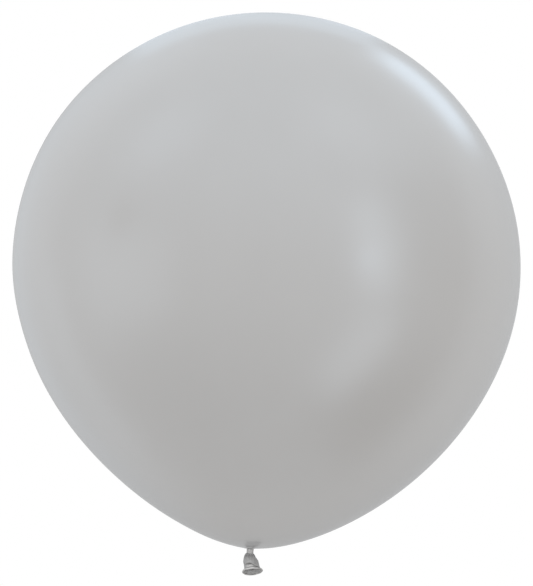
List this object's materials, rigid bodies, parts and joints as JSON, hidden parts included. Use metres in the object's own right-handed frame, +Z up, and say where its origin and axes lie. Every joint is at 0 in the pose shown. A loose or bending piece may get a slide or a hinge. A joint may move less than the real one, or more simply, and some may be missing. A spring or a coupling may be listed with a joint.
{
  "type": "giant latex balloon",
  "caption": "Giant round latex balloon with a metallic pearl-silver skin, inflated and tied off at its neck, with a knot and a short open tail that ends in a rolled lip.",
  "frame": {"origin": "on the balloon's axis at the tie, the pinch between the envelope's throat and the knot", "axes": "+Z up the axis from the tie through the crown, -Y to the viewer of the picture, +X to the viewer's right"},
  "size_m": [0.914, 0.914, 1.0152],
  "materials": {
    "skin": "stretched pearl-silver latex, satin with soft reflections",
    "gathered_film": "twisted and pleated silver latex, satin",
    "slack_film": "slack silver latex, matt and slightly creased",
    "rolled_film": "rolled silver latex, satin"
  },
  "bodies": {
    "root": {"envelope": "skin", "neck": "gathered_film", "knot": "gathered_film", "tail": "slack_film", "lip": "rolled_film"}
  },
  "joints": []
}
